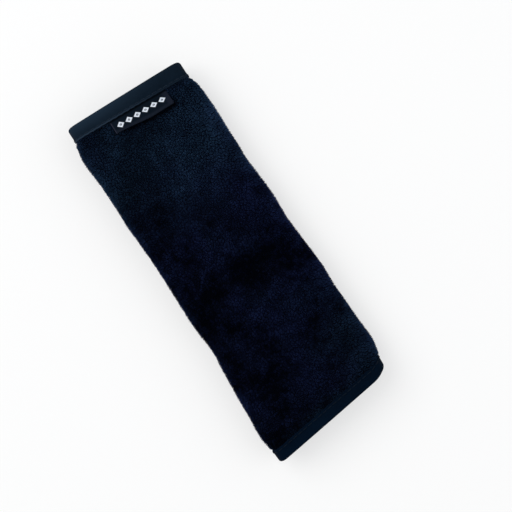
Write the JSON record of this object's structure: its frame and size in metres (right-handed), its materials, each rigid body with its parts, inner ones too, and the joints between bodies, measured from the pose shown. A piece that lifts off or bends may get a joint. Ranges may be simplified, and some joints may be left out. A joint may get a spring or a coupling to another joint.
{
  "type": "seat belt shoulder pad",
  "caption": "Plush padded sleeve that wraps round car seat belt webbing, bound at both ends, with a folded side label and a hook and loop closure along the back.",
  "frame": {"origin": "under the middle of the pad's bounding box, on the surface that it lies on, back down", "axes": "+X across the webbing, to the right when the front is seen with the label end up; +Y along the webbing towards the label end; +Z out of the plush front"},
  "size_m": [0.0644, 0.1698, 0.0203],
  "materials": {
    "plush": "matt short pile",
    "wadding": "matt fibre",
    "lining": "matt knit",
    "binding": "matt knitted tape",
    "closure": "hook and loop",
    "thread": "twisted sewing thread",
    "label": "satin woven"
  },
  "bodies": {
    "root": {"plush_cover": "plush", "wadding": "wadding", "lining": "lining", "top_binding": "binding", "bottom_binding": "binding", "top_binding_thread": "thread", "bottom_binding_thread": "thread", "loop_strip": "closure", "hook_strip": "closure", "loop_strip_edge_thread": "thread", "loop_strip_inner_thread": "thread", "hook_strip_edge_thread": "thread", "hook_strip_inner_thread": "thread", "folded_label": "label"}
  },
  "joints": []
}
